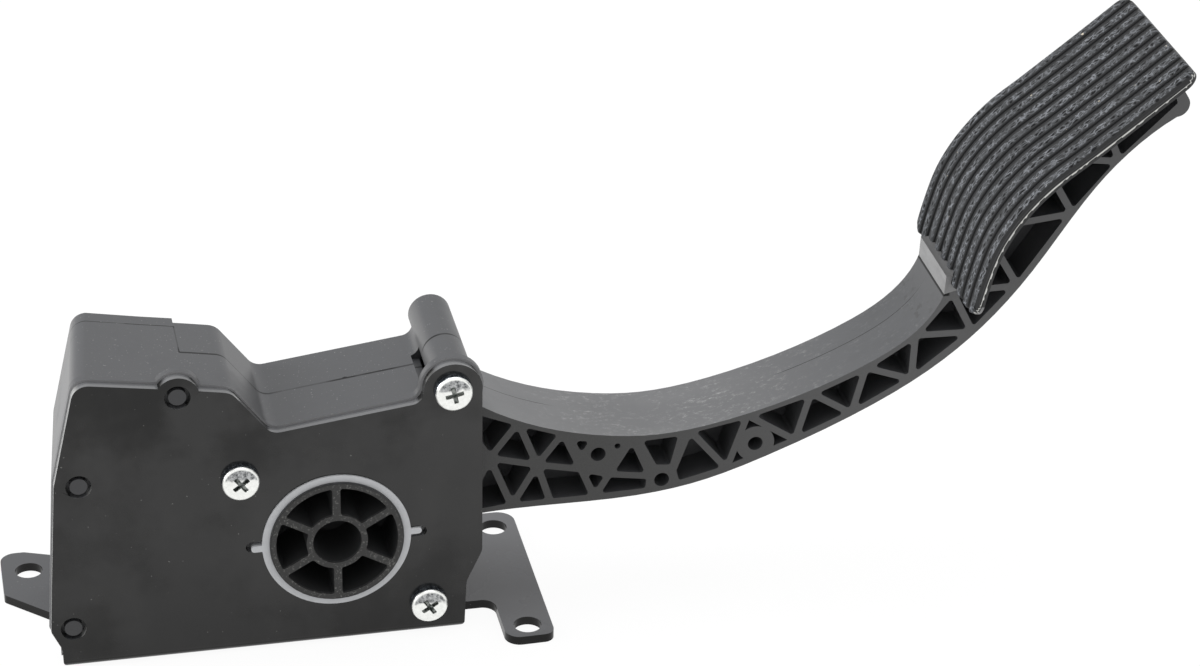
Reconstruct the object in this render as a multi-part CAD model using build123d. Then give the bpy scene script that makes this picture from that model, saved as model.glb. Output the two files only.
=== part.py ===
from build123d import *
import math
import os

# A floor-mounted electronic accelerator pedal, in millimetres.
# X runs from the housing towards the foot pad, Y away from the bracket's flange, Z up.
# The origin is on the mounting face, straight below the pivot, in the middle of the arm.
# Outlines are drawn about the pivot, as seen along the pivot's axis.

# Bracket sheet and its place
pivot_height = 38.5
sheet = 3.0
bend_inside = 0.6
bend_outside = bend_inside + sheet
foot_corner = 3.0

# Depths along the pivot's axis
arm_width = 28.0
arm_half = arm_width / 2
arm_side_gap = 6.5
flange_far = -arm_half - arm_side_gap
flange_near = flange_far - sheet
housing_far = arm_half + arm_side_gap
block_step = 3.0
block_far = housing_far + block_step
block_joint = block_far - 5.5
middle_joint = 1.0

# Floor holes and tabs of the bracket
floor_hole_radius = 4.5
right_hole_x = 60.2
right_hole_y = 30.6
right_hole_spacing = 60.0
left_hole_x = -94.3
left_hole_y = 32.1
tab_margin = 7.9
left_tab_margin = 8.8
notch_edge = -12.6
tab_end_margin = 6.5
far_margin = 9.3

# Flange and housing outline
left_foot_x = -87.2
left_knee = -31.0
left_low = (-90.4, -24.0)
left_high = (-86.6, 28.7)
left_top = (-78.6, 63.4)
roof = [(-55.0, 59.9), (-40.6, 57.6), (-31.3, 56.0), (-19.4, 40.3), (33.0, 47.2)]
roof_radii = [1.0, 1.5, 6.0, 5.0, 0]
right_side_x = 46.5
right_side_end = -9.5
foot_knee = (41.4, -20.5)
foot_x = 40.8
ear_radius = 9.3
peg_ear_radius = 6.8
ear_blend = 4.0
ear_lip_depth = 2.6
tube_shoulder_drop = 4.5

# Housing walls
wall = 2.5
near_wall = 3.0
housing_lip = 0.8
side_inset = 0.4
housing_floor = bend_outside - pivot_height
inner_floor = housing_floor + wall
block_edge_x = -44.5
column_radius = 5.5
small_column_radius = 3.6
tube_radius = 6.8
tube_shift = 1.1
tube_reach = 7.5
slot_left = 28.9
slot_floor = 45.4
slot_far = 6.5
exit_top = 42.5
slip = 0.3

# Hub and its bearings
journal_radius = 21.2
journal_play = 0.06
ring_wall = 2.3
ring_fit = 0.04
ring_inner = journal_radius + journal_play
ring_outer = ring_inner + ring_wall
ring_proud = 0.6
ring_key_reach = 27.0
ring_key_height = 2.2
ring_key_turn = 1.3
notch_reach = 28.7
notch_height = 3.6
hub_proud = 1.6
drum_radius = 24.5
hub_rim = 1.9
hub_eye_outer = 9.7
hub_eye_inner = 7.7
hub_spoke = 2.5
hub_spokes = 6
hub_pocket_depth = 20.0
hub_round = 0.8

# Screws and pegs
screw_radius = 3.0
screw_clearance = 0.3
screw_length = 18.0
screw_head_radius = 6.0
screw_head_height = 3.2
screw_head_round = 1.8
recess_width = 1.3
recess_length = 6.6
recess_depth = 1.8
peg_radius = 2.75
peg_hole_radius = 4.0
peg_short = 0.3
small_screw_radius = 1.6
small_head_radius = 3.4
small_head_height = 2.2
small_screw_length = 12.0
small_socket_radius = 1.5
small_socket_depth = 1.2

upper_screw = (37.3, 49.8)
tube_place = (upper_screw[0] + tube_shift, upper_screw[1])
left_screw = (-29.6, 24.8)
lower_screw = (29.1, -27.0)
screw_places = {"upper": upper_screw, "left": left_screw, "lower": lower_screw}
peg_places = [(-47.7, 56.0), (-79.1, 27.7), (-83.4, -23.5)]
block_columns = [(-81.0, -25.0), (-72.0, 52.0)]

# Arm
rib_half = 1.15
web = 3.0
pocket_round = 0.9
boss_hole_radius = 2.45
boss_holes = [(85.8, 16.2), (106.9, 4.5), (137.6, 14.7)]
boss_radius = 6.3
beam_start = (48.0, 37.7)
beam_foot = (48.0, -1.5)
shoulder_top = 41.3
shoulder_left = 14.0
heel_low = (197.8, 63.4)
heel_back = (202.4, 64.6)
heel_top = (198.1, 70.0)
arm_end_gap = 3.7
lever_width = 20.0
lever_half_height = 6.0
lever_reach = 70.0
shoe_half_height = 9.0
shoe_thickness = 3.6
lining_thickness = 2.4
track_thickness = 2.2
lining_low = -13.0
lining_high = 34.0

# Pad
pad_width = 63.2
pad_near = -36.5
pad_far = pad_near + pad_width
carrier_thickness = 0.9
tread_thickness = 1.2
ridge_height = 1.1
ridge_count = 10
ridge_width = 3.8
ridge_margin = 0.5
pad_corner = 5.0
stud_radius = 2.0
stud_length = 2.2
stud_play = 0.1
stud_root = 0.8
seat_gap = 0.05
join_depth = 0.5
band_share = 0.04
curve_steps = 14

# Return springs
spring_x = -50.0
seat_radius = 11.6
seat_thickness = 3.2
spring_bottom = lever_half_height + seat_thickness
spring_top = 53.5
outer_coil_radius = 9.2
outer_wire = 2.4
outer_turns = 6
inner_coil_radius = 5.4
inner_wire = 1.6
inner_turns = 8
wire_sides = 8

# Stops
idle_stop_left = 16.0
idle_stop_right = 28.0
idle_stop_half = 8.0
full_stop_left = 29.0
full_stop_right = 39.0
full_stop_top = -14.5
full_stop_rubber = 3.0

# Sensor
seal_outer = 26.8
seal_inner = 25.4
seal_thickness = 1.0
sensor_radius = 27.0
sensor_wall = 2.0
sensor_depth = 10.0
ledge_inner = 23.0
rotor_radius = 15.0
rotor_thickness = 1.6
journal_reach = 0.5
board_gap = 1.6
board_thickness = 1.6
board_play = 0.2
socket_width = 24.0
socket_height = 12.0
socket_end = -50.0
socket_back = -30.0
socket_wall = 1.6
pin_count = 6
pin_pitch = 3.0
pin_side = 0.8
pin_reach = 8.0
sensor_ear_ring = 31.4
sensor_ear_radius = 5.2
sensor_boss_radius = 4.2
sensor_ear_thickness = 3.0


def at_depth(shape, near, far):
    """Stands an outline drawn about the pivot between two depths along the pivot's axis."""
    plane = Plane(origin=(0, far, pivot_height), x_dir=(1, 0, 0), z_dir=(0, -1, 0))
    return extrude(plane * shape, far - near)


def disc(place, radius, near, far):
    """A round bar along the pivot's axis."""
    return at_depth(Pos(*place) * Circle(radius), near, far)


def tube(place, outer, inner, near, far):
    """A round tube along the pivot's axis."""
    return at_depth(Pos(*place) * (Circle(outer) - Circle(inner)), near, far)


def straight_region(points):
    return make_face(Polyline(*points, close=True))


def rounded_region(points, radii):
    return make_face(FilletPolyline(*points, radius=radii, close=True))


def window(left, right, low, high):
    """A rectangle between two sides and two levels."""
    return Pos((left + right) / 2, (low + high) / 2) * Rectangle(right - left, high - low)


def raised(curve, height, start=0.0, end=1.0):
    """A curve that keeps a height above another, measured square to it."""
    points = []
    for step in range(curve_steps + 1):
        share = start + (end - start) * step / curve_steps
        place = curve @ share
        along = curve % share
        points.append((place.X - along.Y * height, place.Y + along.X * height))
    return Spline(*points)


def layer(curve, low, high, start=0.0, end=1.0):
    """The region between two heights above a curve."""
    under = raised(curve, low, start, end)
    over = raised(curve, high, start, end)
    return make_face([under, Line(under @ 1, over @ 1), over, Line(over @ 0, under @ 0)])


# Outline that the flange and the housing share, from the foot over the roof to the right side
def profile(lip, side_lip, ear, ear_place, drop=0.0):
    """The ear is the radius round the upper screw; drop lowers the right side's corner."""
    foot = bend_outside - pivot_height
    right = right_side_x - side_lip
    corners = [
        (left_foot_x - side_lip, foot, 0),
        (left_foot_x - side_lip, left_knee, 2.5),
        (left_low[0] - side_lip, left_low[1], 2.5),
        (left_high[0] - side_lip, left_high[1], 8.0),
        (left_top[0] - side_lip, left_top[1] + lip, 5.0),
    ]
    corners += [(x, z + lip, radius) for (x, z), radius in zip(roof, roof_radii)]
    corners.append((right - drop / 2, upper_screw[1] - drop, 0))
    if drop:
        corners.append((right, upper_screw[1] - 2 * drop, 0))
    corners += [
        (right, right_side_end, 6.0),
        (foot_knee[0] - side_lip, foot_knee[1], 6.0),
        (foot_x - side_lip, foot, 0),
    ]
    shape = rounded_region([(x, z) for x, z, _ in corners], [radius for _, _, radius in corners])
    shape += Pos(*ear_place) * Circle(ear)
    blend_near = Vector(ear_place[0] - ear, roof[-1][1])
    corner = shape.vertices().sort_by_distance(blend_near)[0]
    return fillet(corner, ear_blend)


def with_peg_ear(shape, lip):
    """Adds the ear round the upper peg to an outline."""
    return shape + Pos(*peg_places[0]) * Circle(peg_ear_radius + lip)


# Bracket: one stamped and bent steel sheet
def foot_outline():
    """Outline of the bend as seen from the flange, with its two lower corners rounded."""
    corners = [
        (left_foot_x, bend_outside - pivot_height, 0),
        (foot_x, bend_outside - pivot_height, 0),
        (foot_x, -pivot_height, foot_corner),
        (left_foot_x, -pivot_height, foot_corner),
    ]
    return rounded_region([(x, z) for x, z, _ in corners], [radius for _, _, radius in corners])


def floor_holes():
    return [
        (right_hole_x, right_hole_y),
        (right_hole_x, right_hole_y - right_hole_spacing),
        (left_hole_x, left_hole_y),
    ]


def make_bracket():
    flange = with_peg_ear(profile(0.0, 0.0, ear_radius, upper_screw), 0.0)
    flange -= Circle(ring_outer + ring_fit)
    flange -= SlotOverall(2 * notch_reach, notch_height)
    for place in screw_places.values():
        flange -= Pos(*place) * Circle(screw_radius + screw_clearance)
    for place in peg_places:
        flange -= Pos(*place) * Circle(peg_hole_radius)
    upright = at_depth(flange, flange_near, flange_far)
    plate_near = flange_near + bend_outside
    bend_plane = Plane(
        origin=(left_foot_x, plate_near, bend_outside), x_dir=(0, 1, 0), z_dir=(1, 0, 0)
    )
    quarter = Circle(bend_outside) - Circle(bend_inside)
    quarter &= window(-bend_outside, 0, -bend_outside, 0)
    bend = extrude(bend_plane * quarter, foot_x - left_foot_x)
    bend &= at_depth(foot_outline(), flange_near, plate_near)
    tab_right = right_hole_x + tab_margin
    tab_left = right_hole_x - tab_margin
    tab_near = right_hole_y - right_hole_spacing - tab_end_margin
    far_edge = right_hole_y + far_margin
    left_edge = left_hole_x - left_tab_margin
    floor_left = left_foot_x + foot_corner
    floor_right = foot_x - foot_corner
    corners = [
        (floor_left, plate_near, 0),
        (floor_left, 0.9, 1.5),
        (left_edge, 18.8, 2.5),
        (left_edge, far_edge + 3.7, 5.0),
        (left_edge + 8.0, far_edge + 3.7, 3.0),
        (left_edge + 19.0, far_edge - 0.5, 6.0),
        (tab_right, far_edge, 6.0),
        (tab_right, tab_near, 3.5),
        (tab_left, tab_near - 0.4, 5.0),
        (tab_left, notch_edge, 4.5),
        (floor_right, notch_edge, 1.5),
        (floor_right, plate_near, 0),
    ]
    floor = rounded_region([(x, y) for x, y, _ in corners], [radius for _, _, radius in corners])
    for place in floor_holes():
        floor -= Pos(*place) * Circle(floor_hole_radius)
    return upright + bend + extrude(floor, sheet)


# Housing: two mouldings that close on a stepped joint and share one cavity
def housing_outline():
    return profile(0.0, side_inset, tube_radius, tube_place, tube_shoulder_drop)


def lip_outline():
    """Outline of the lip that stands round the flange."""
    shape = profile(housing_lip, side_inset, ear_radius + housing_lip, upper_screw)
    return with_peg_ear(shape, housing_lip)


def block_side():
    return window(-120, block_edge_x, -60, 90)


def housing_cavity():
    """Room inside the walls, open at the end where the arm leaves."""
    room = offset(housing_outline(), -wall)
    return room + window(right_side_x - 15, right_side_x + 15, inner_floor, exit_top)


def screw_columns(near, far):
    """Columns that both halves carry for the screws, between two depths."""
    column = Pos(*tube_place) * Circle(tube_radius) - Pos(*upper_screw) * Circle(small_screw_radius)
    shape = at_depth(column, near, far)
    for place in (left_screw, lower_screw):
        shape += tube(place, column_radius, small_screw_radius, near, far)
    return shape


def deck_slot(near, far):
    """A narrow slot that sinks into the deck along the foot of the upper screw's column."""
    room = window(slot_left, tube_place[0], slot_floor, upper_screw[1])
    room -= Pos(*tube_place) * Circle(tube_radius)
    return at_depth(room, near, far)


def friction_ring(inner, outer):
    """An arched strip about the pivot that faces the lever's shoe."""
    return (Circle(outer) - Circle(inner)) & window(-outer - 1, 0, lining_low, lining_high)


def make_housing_body():
    outline = housing_outline()
    block = outline & block_side()
    inner_near = flange_far + near_wall
    shell = at_depth(outline, flange_far, middle_joint)
    shell += at_depth(lip_outline(), flange_far, flange_far + ear_lip_depth)
    shell += at_depth(block, middle_joint, block_joint)
    shell -= at_depth(housing_cavity(), inner_near, block_joint)
    shell += screw_columns(inner_near, middle_joint)
    for place in block_columns:
        shell += tube(place, small_column_radius, small_screw_radius, inner_near, block_joint)
    lining_outer = lining_inner() + lining_thickness
    track = friction_ring(lining_outer, lining_outer + track_thickness)
    shell += at_depth(track, inner_near, arm_half)
    post_top = full_stop_top - full_stop_rubber
    post = window(full_stop_left, full_stop_right, inner_floor, post_top)
    shell += at_depth(post, inner_near, middle_joint)
    for place in screw_places.values():
        shell -= disc(place, screw_radius, flange_far, flange_near + screw_length)
    shell -= disc((0, 0), ring_outer + ring_fit, flange_far, inner_near)
    shell -= deck_slot(flange_far + ear_lip_depth, middle_joint)
    for place in peg_places:
        shell += disc(place, peg_radius, flange_near + peg_short, flange_far)
    return shell


def make_housing_cover():
    outline = housing_outline()
    middle = outline - block_side()
    inner_far = housing_far - wall
    shell = at_depth(middle, middle_joint, housing_far)
    shell += at_depth(outline & block_side(), block_joint, block_far)
    shell -= at_depth(housing_cavity() - block_side(), middle_joint, inner_far)
    shell += screw_columns(middle_joint, inner_far)
    shell += disc(tube_place, tube_radius, housing_far, housing_far + tube_reach)
    shell -= disc(upper_screw, small_screw_radius, housing_far, housing_far + tube_reach)
    shell -= deck_slot(middle_joint, slot_far)
    for place in sensor_ear_places():
        shell += disc(place, sensor_boss_radius, housing_far, housing_far + seal_thickness)
        shell -= disc(place, small_screw_radius, inner_far, housing_far + seal_thickness)
    shell -= disc((0, 0), ring_outer + ring_fit, inner_far, housing_far)
    for place in (lower_screw, upper_screw):
        shell -= disc(place, small_screw_radius, inner_far, housing_far)
    for place in block_columns:
        shell -= disc(place, small_screw_radius, block_joint, block_far)
    return shell


# Bearing rings: one in the flange with two keys, one in the far wall
def make_near_bearing_ring():
    near = flange_near - ring_proud
    ring = tube((0, 0), ring_outer, ring_inner, near, flange_far + near_wall)
    keys = Rot(0, 0, ring_key_turn) * SlotOverall(2 * ring_key_reach, ring_key_height)
    keys -= Circle(ring_inner + ring_wall / 2)
    return ring + at_depth(keys, near, flange_far)


def make_far_bearing_ring():
    return tube((0, 0), ring_outer, ring_inner, housing_far - wall, housing_far)


# Arm: one moulding with the hub, the ribbed beam and the rear lever
def top_line():
    """Upper face of the beam, from the housing to the pad's heel."""
    return Spline(
        beam_start, (68.4, 27.8), (88.0, 22.9), (104.3, 21.5), (128.4, 24.6),
        (152.5, 31.5), (172.8, 40.0), (188.0, 49.6), (194.6, 57.0), heel_low,
    )


def bottom_line():
    """Lower face of the beam, from the tip back to the housing."""
    return Spline(
        (270.6, 119.8), (258.5, 111.0), (248.4, 100.6), (227.0, 69.2), (212.1, 51.0),
        (196.8, 37.7), (173.5, 23.7), (142.0, 9.9), (118.4, 2.3), (95.0, -0.7),
        (70.0, -0.9), beam_foot,
    )


def seat_line():
    """Underside of the pad, from heel to tip."""
    return Spline(
        (202.8, 65.6), (205.2, 76.9), (209.1, 89.0), (215.1, 99.1),
        (223.3, 108.2), (234.1, 116.6), (250.0, 129.0), (267.6, 143.1),
    )


def beam_region():
    seat = seat_line()
    seat_part = seat.trim(0, 1 - arm_end_gap / seat.length)
    end = seat_part @ 1
    bottom = bottom_line()
    toe = bottom @ 0
    toe_top = (toe.X + 3.2, toe.Y + 6.4)
    edges = [
        top_line(),
        Polyline(heel_low, heel_back, seat_part @ 0),
        seat_part,
        Line(end, toe_top),
        ThreePointArc(toe_top, (toe.X + 3.6, toe.Y + 2.6), toe),
        bottom,
        Polyline(
            beam_foot,
            (36.0, -3.0),
            (15.0, -17.0),
            (-10.0, 0.0),
            (-6.0, 21.0),
            (10.0, 39.5),
            (shoulder_left, shoulder_top),
            (37.0, shoulder_top),
            beam_start,
        ),
    ]
    return make_face(edges)


# Truss: the ribs run between these points on the two chords and the middle line
chord_top = [
    (37.5, 39.9), (59.8, 30.6), (74.3, 25.3), (97.0, 21.0), (115.6, 21.9), (134.6, 25.4),
    (155.4, 31.5), (173.3, 39.0), (189.2, 49.3), (200.6, 63.8), (209.5, 85.6),
    (226.5, 109.2), (245.0, 123.4), (265.0, 139.6),
]
chord_low = [
    (41.5, -1.6), (57.8, 0.1), (70.4, 0.2), (84.8, 0.3), (102.5, 0.8), (111.8, 2.2),
    (128.4, 6.3), (150.8, 14.6), (169.3, 22.6), (188.8, 33.3), (208.2, 48.8),
    (222.2, 64.3), (238.6, 88.6), (252.8, 105.8), (271.8, 124.4),
]
middle_line = [(50.6, 18.6), (66.0, 14.4), (80.3, 11.3), (89.6, 8.4), (103.2, 6.2)]


def truss_cells():
    """Cells of the truss, each by the points that its ribs run between."""
    top = chord_top
    low = chord_low
    mid = middle_line
    cells = [
        (top[0], top[1], mid[0]),
        (top[1], mid[1], mid[0]),
        (mid[0], mid[1], low[1]),
        (mid[0], low[1], low[0]),
        (top[1], top[2], mid[1]),
        (top[2], mid[2], mid[1]),
        (mid[1], low[2], low[1]),
        (mid[1], mid[2], low[3], low[2]),
        (mid[2], mid[3], low[3]),
        (mid[3], mid[4], low[4], low[3]),
        (top[3], mid[4], mid[3]),
        ((76.4, 23.4), (84.6, 22.2), (80.1, 14.8)),
        ((88.4, 20.9), (95.6, 20.5), (92.0, 14.4)),
        ((98.6, 20.6), (113.4, 21.3), (110.4, 8.6), (104.2, 9.2)),
        (top[4], low[6], low[5], (110.5, 7.4)),
        (top[4], top[5], low[6]),
    ]
    for index in range(5, 13):
        cells.append((top[index], top[index + 1], low[index + 2]))
        if index < 12:
            cells.append((top[index + 1], low[index + 3], low[index + 2]))
    cells.append((top[12], top[13], low[14], low[13]))
    return cells


def pockets(shape):
    """Sinks a flat region into both sides of the beam and leaves the web."""
    depth = arm_half - web / 2
    return at_depth(shape, -arm_half, -arm_half + depth) + at_depth(shape, arm_half - depth, arm_half)


def cell_region(points):
    """A cell less half a rib on each side, with moulded corners."""
    inset = offset(straight_region(points), -rib_half, kind=Kind.INTERSECTION)
    return fillet(inset.vertices(), pocket_round)


def boss_cell():
    """Three corners left round the boss that carries the third hole."""
    points = (chord_top[5], chord_low[7], chord_low[6])
    inset = offset(straight_region(points), -rib_half, kind=Kind.INTERSECTION)
    return inset - Pos(*boss_holes[2]) * Circle(boss_radius)


def hub_pockets():
    """Six pockets between the spokes, with one spoke straight up."""
    room = Circle(journal_radius - hub_rim) - Circle(hub_eye_outer)
    for index in range(hub_spokes // 2):
        turn = 90 + index * 360 / hub_spokes
        room -= Rot(0, 0, turn) * Rectangle(2 * journal_radius, hub_spoke)
    return fillet(room.vertices(), hub_round)


def make_pedal_arm():
    hub_near = flange_near - hub_proud
    arm = at_depth(beam_region(), -arm_half, arm_half)
    arm += disc((0, 0), drum_radius, -arm_half, arm_half)
    arm += disc((0, 0), journal_radius, hub_near, -arm_half)
    arm += disc((0, 0), journal_radius, arm_half, housing_far + journal_reach)
    lever = Circle(lever_reach) & window(-lever_reach, 0, -lever_half_height, lever_half_height)
    arm += at_depth(lever, -lever_width / 2, lever_width / 2)
    arm -= at_depth(hub_pockets(), hub_near, hub_near + hub_pocket_depth)
    arm -= disc((0, 0), hub_eye_inner, hub_near, hub_near + hub_pocket_depth)
    for points in truss_cells():
        arm -= pockets(cell_region(points))
    arm -= pockets(boss_cell())
    for place in boss_holes:
        arm -= pockets(Pos(*place) * Circle(boss_hole_radius))
    return arm - make_studs(stud_radius + stud_play, stud_length + slip)


# Pad: a thin carrier that is pressed onto the arm, under a ribbed rubber tread
def make_studs(radius, length):
    """Studs under the carrier, square to the seat."""
    seat = seat_line()
    shape = Part()
    for share in (0.3, 0.62, 0.86):
        place = seat @ share
        along = seat % share
        root = (place.X - along.Y * stud_root, place.Y + along.X * stud_root)
        origin = (root[0], 0, root[1] + pivot_height)
        plane = Plane(origin=origin, x_dir=(0, 1, 0), z_dir=(along.Y, 0, -along.X))
        shape += extrude(plane * Circle(radius), length + stud_root)
    return shape


def make_pad_carrier():
    seat = seat_line()
    plate = at_depth(layer(seat, seat_gap, carrier_thickness), pad_near, pad_far)
    corners = plate.edges().filter_by(GeomType.LINE).filter_by(lambda edge: edge.length < 2)
    plate = fillet(corners, pad_corner)
    inside = raised(seat, join_depth, 0.0, band_share)
    band = straight_region([heel_low, heel_back, inside @ 0, inside @ 1, heel_top])
    plate += at_depth(band, -arm_half, arm_half)
    return plate + make_studs(stud_radius, stud_length)


def make_pad_tread():
    seat = seat_line()
    base_top = carrier_thickness + tread_thickness
    tread = at_depth(layer(seat, carrier_thickness, base_top), pad_near, pad_far)
    corners = tread.edges().filter_by(GeomType.LINE).filter_by(lambda edge: edge.length < 3)
    tread = fillet(corners, pad_corner)
    start = seat @ 0
    pitch = (pad_width - 2 * ridge_margin - ridge_width) / (ridge_count - 1)
    for index in range(ridge_count):
        inset = 1.4 if index in (0, ridge_count - 1) else 0.3
        share = inset / seat.length
        ridge = layer(seat, base_top - join_depth, base_top + ridge_height, share, 1 - share)
        near = pad_near + ridge_margin + index * pitch
        tread += at_depth(ridge, near, near + ridge_width)
    band = window(start.X - 9, start.X + 3, start.Y - 9, heel_top[1] + seat_gap)
    return tread - at_depth(band, -arm_half, arm_half)


# Screws
def make_housing_screw(place):
    """A pan head screw with a cross recess, through the flange into a housing column."""
    head_near = flange_near - screw_head_height
    head = disc(place, screw_head_radius, head_near, flange_near)
    rim = head.edges().filter_by(GeomType.CIRCLE).sort_by(Axis.Y)[0]
    head = fillet(rim, screw_head_round)
    cross = Rectangle(recess_length, recess_width) + Rectangle(recess_width, recess_length)
    head -= at_depth(Pos(*place) * (Rot(0, 0, 20) * cross), head_near, head_near + recess_depth)
    return head + disc(place, screw_radius, flange_near, flange_near + screw_length)


def make_small_screw(place, seat_depth):
    """A small socket screw from the far side."""
    head_far = seat_depth + small_head_height
    screw = disc(place, small_head_radius, seat_depth, head_far)
    screw += disc(place, small_screw_radius, seat_depth - small_screw_length, seat_depth)
    socket = Pos(*place) * RegularPolygon(small_socket_radius, 6)
    return screw - at_depth(socket, head_far - small_socket_depth, head_far)


# Return mechanism
def make_spring(coil_radius, wire, turns):
    """A coil spring that stands between its two seats."""
    low = pivot_height + spring_bottom + wire / 2
    height = spring_top - spring_bottom - wire
    path = Helix(pitch=height / turns, height=height, radius=coil_radius, center=(spring_x, 0, low))
    start = path @ 0
    section = Plane(origin=start, z_dir=path % 0) * RegularPolygon(wire / 2, wire_sides)
    return sweep(section, path=path, is_frenet=True)


def seat_plate(radius, low, high):
    return Pos(spring_x, 0, pivot_height + low) * extrude(Circle(radius), high - low)


def make_spring_seat():
    """A dished seat on the lever, with a spigot inside the inner spring."""
    seat = seat_plate(seat_radius, lever_half_height, spring_bottom)
    return seat + seat_plate(inner_coil_radius - inner_wire, spring_bottom, spring_bottom + 3)


def make_spring_cap():
    """The fixed seat under the roof, shaped to the roof's slope."""
    room = housing_cavity() & window(spring_x - seat_radius, spring_x + seat_radius, spring_top, 80)
    cap = at_depth(room, -seat_radius, seat_radius)
    round_bar = seat_plate(seat_radius, spring_top, 80)
    return (cap & round_bar) + seat_plate(inner_coil_radius - inner_wire, spring_top - 3, spring_top)


def lining_inner():
    return lever_reach + shoe_thickness + slip


def make_friction_lining():
    strip = friction_ring(lining_inner(), lining_inner() + lining_thickness)
    return at_depth(strip, -arm_half + 2, arm_half - 2)


def make_friction_shoe():
    strip = Circle(lever_reach + shoe_thickness) - Circle(lever_reach)
    strip &= window(-lever_reach - 10, 0, -shoe_half_height, shoe_half_height)
    return at_depth(strip, -lever_width / 2, lever_width / 2)


def make_idle_stop():
    room = window(idle_stop_left, idle_stop_right, shoulder_top + slip, 80)
    return at_depth(housing_cavity() & room, -idle_stop_half, idle_stop_half)


def make_full_travel_stop():
    top = full_stop_top
    block = window(full_stop_left, full_stop_right, top - full_stop_rubber, top)
    return at_depth(block, -arm_half + 2, 0)


# Sensor on the far side
sensor_near = housing_far + seal_thickness
sensor_end = sensor_near + sensor_depth
rotor_far = housing_far + journal_reach + rotor_thickness
board_near = rotor_far + board_gap
board_far = board_near + board_thickness
socket_near = block_far + slip
socket_middle = socket_near + socket_height / 2


def sensor_ear_places():
    places = []
    for angle in (90, 210, 330):
        turn = math.radians(angle)
        places.append((sensor_ear_ring * math.cos(turn), sensor_ear_ring * math.sin(turn)))
    return places


def make_sensor_rotor():
    """A thin metal target with three lobes, staked on the hub's end."""
    shape = Circle(rotor_radius) - Circle(hub_eye_inner)
    for index in range(3):
        lobe = Rot(0, 0, 120 * index) * (Pos(rotor_radius, 0) * Circle(5.0))
        shape -= lobe
    return at_depth(shape, housing_far + journal_reach, rotor_far)


def make_sensor_board():
    return disc((0, 0), sensor_radius - sensor_wall - board_play, board_near, board_far)


def make_sensor_chips():
    chips = at_depth(window(2, 9, 2, 9), board_far, board_far + 1.2)
    chips += at_depth(window(3, 8, -9, -5), board_far, board_far + 1.0)
    return chips + at_depth(window(-6, -3, 10, 12), board_far, board_far + 0.8)


def pin_levels():
    return [(index - (pin_count - 1) / 2) * pin_pitch for index in range(pin_count)]


def make_connector_pins():
    """Bent pins from the board into the socket."""
    pins = Part()
    half = pin_side / 2
    for level in pin_levels():
        leg = window(-15 - half, -15 + half, level - half, level + half)
        pins += at_depth(leg, board_far, socket_middle + half)
        reach = window(socket_back - pin_reach, -15 + half, level - half, level + half)
        pins += at_depth(reach, socket_middle - half, socket_middle + half)
    return pins


def make_sensor_cover():
    """A cup over the sensor with a moulded socket that opens away from the pad."""
    inside = sensor_radius - sensor_wall
    body = disc((0, 0), sensor_radius, sensor_near, sensor_end)
    half_width = socket_width / 2
    shroud = rounded_region(
        [(socket_end, -half_width), (-12, -half_width), (-12, half_width), (socket_end, half_width)],
        [0.5, 3.0, 3.0, 0.5],
    )
    body += at_depth(shroud, socket_near, socket_near + socket_height)
    for place in sensor_ear_places():
        body += disc(place, sensor_ear_radius, sensor_near, sensor_near + sensor_ear_thickness)
    body -= disc((0, 0), inside, sensor_near, board_far)
    body -= disc((0, 0), ledge_inner, board_far, sensor_end - sensor_wall)
    inner_half = half_width - socket_wall
    room = window(socket_end, socket_back, -inner_half, inner_half)
    body -= at_depth(room, socket_near + socket_wall, socket_near + socket_height - socket_wall)
    for place in sensor_ear_places():
        body -= disc(place, small_screw_radius, sensor_near, sensor_near + sensor_ear_thickness)
    return body - make_connector_pins()


def make_sensor_seal():
    return tube((0, 0), seal_outer, seal_inner, housing_far, sensor_near)


def small_screws():
    """Small screws on the far side by name."""
    seats = [
        (upper_screw, housing_far + tube_reach),
        (lower_screw, housing_far),
        (block_columns[0], block_far),
        (block_columns[1], block_far),
    ]
    screws = {}
    for index, (place, seat_depth) in enumerate(seats, 1):
        screws[f"cover_screw_{index}"] = make_small_screw(place, seat_depth)
    for index, place in enumerate(sensor_ear_places(), 1):
        screws[f"sensor_screw_{index}"] = make_sensor_screw(place)
    return screws


def make_sensor_screw(place):
    seat_depth = sensor_near + sensor_ear_thickness
    head_far = seat_depth + small_head_height
    screw = disc(place, small_head_radius, seat_depth, head_far)
    screw += disc(place, small_screw_radius, housing_far - wall, seat_depth)
    socket = Pos(*place) * RegularPolygon(small_socket_radius, 6)
    return screw - at_depth(socket, head_far - small_socket_depth, head_far)


nodes = {
    "bracket": make_bracket(),
    "housing_body": make_housing_body(),
    "housing_cover": make_housing_cover(),
    "near_bearing_ring": make_near_bearing_ring(),
    "far_bearing_ring": make_far_bearing_ring(),
    "pedal_arm": make_pedal_arm(),
    "pad_carrier": make_pad_carrier(),
    "pad_tread": make_pad_tread(),
    "outer_return_spring": make_spring(outer_coil_radius, outer_wire, outer_turns),
    "inner_return_spring": make_spring(inner_coil_radius, inner_wire, inner_turns),
    "spring_seat": make_spring_seat(),
    "spring_cap": make_spring_cap(),
    "friction_lining": make_friction_lining(),
    "friction_shoe": make_friction_shoe(),
    "idle_stop": make_idle_stop(),
    "full_travel_stop": make_full_travel_stop(),
    "sensor_rotor": make_sensor_rotor(),
    "sensor_board": make_sensor_board(),
    "sensor_chips": make_sensor_chips(),
    "sensor_seal": make_sensor_seal(),
    "sensor_cover": make_sensor_cover(),
    "connector_pins": make_connector_pins(),
}
for name, place in screw_places.items():
    nodes[f"housing_screw_{name}"] = make_housing_screw(place)
nodes.update(small_screws())

os.makedirs("parts", exist_ok=True)
for name, shape in nodes.items():
    export_step(shape, f"parts/{name}.step")
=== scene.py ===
import math

import bmesh
import bpy
import numpy as np
from mathutils import Matrix, Vector


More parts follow.
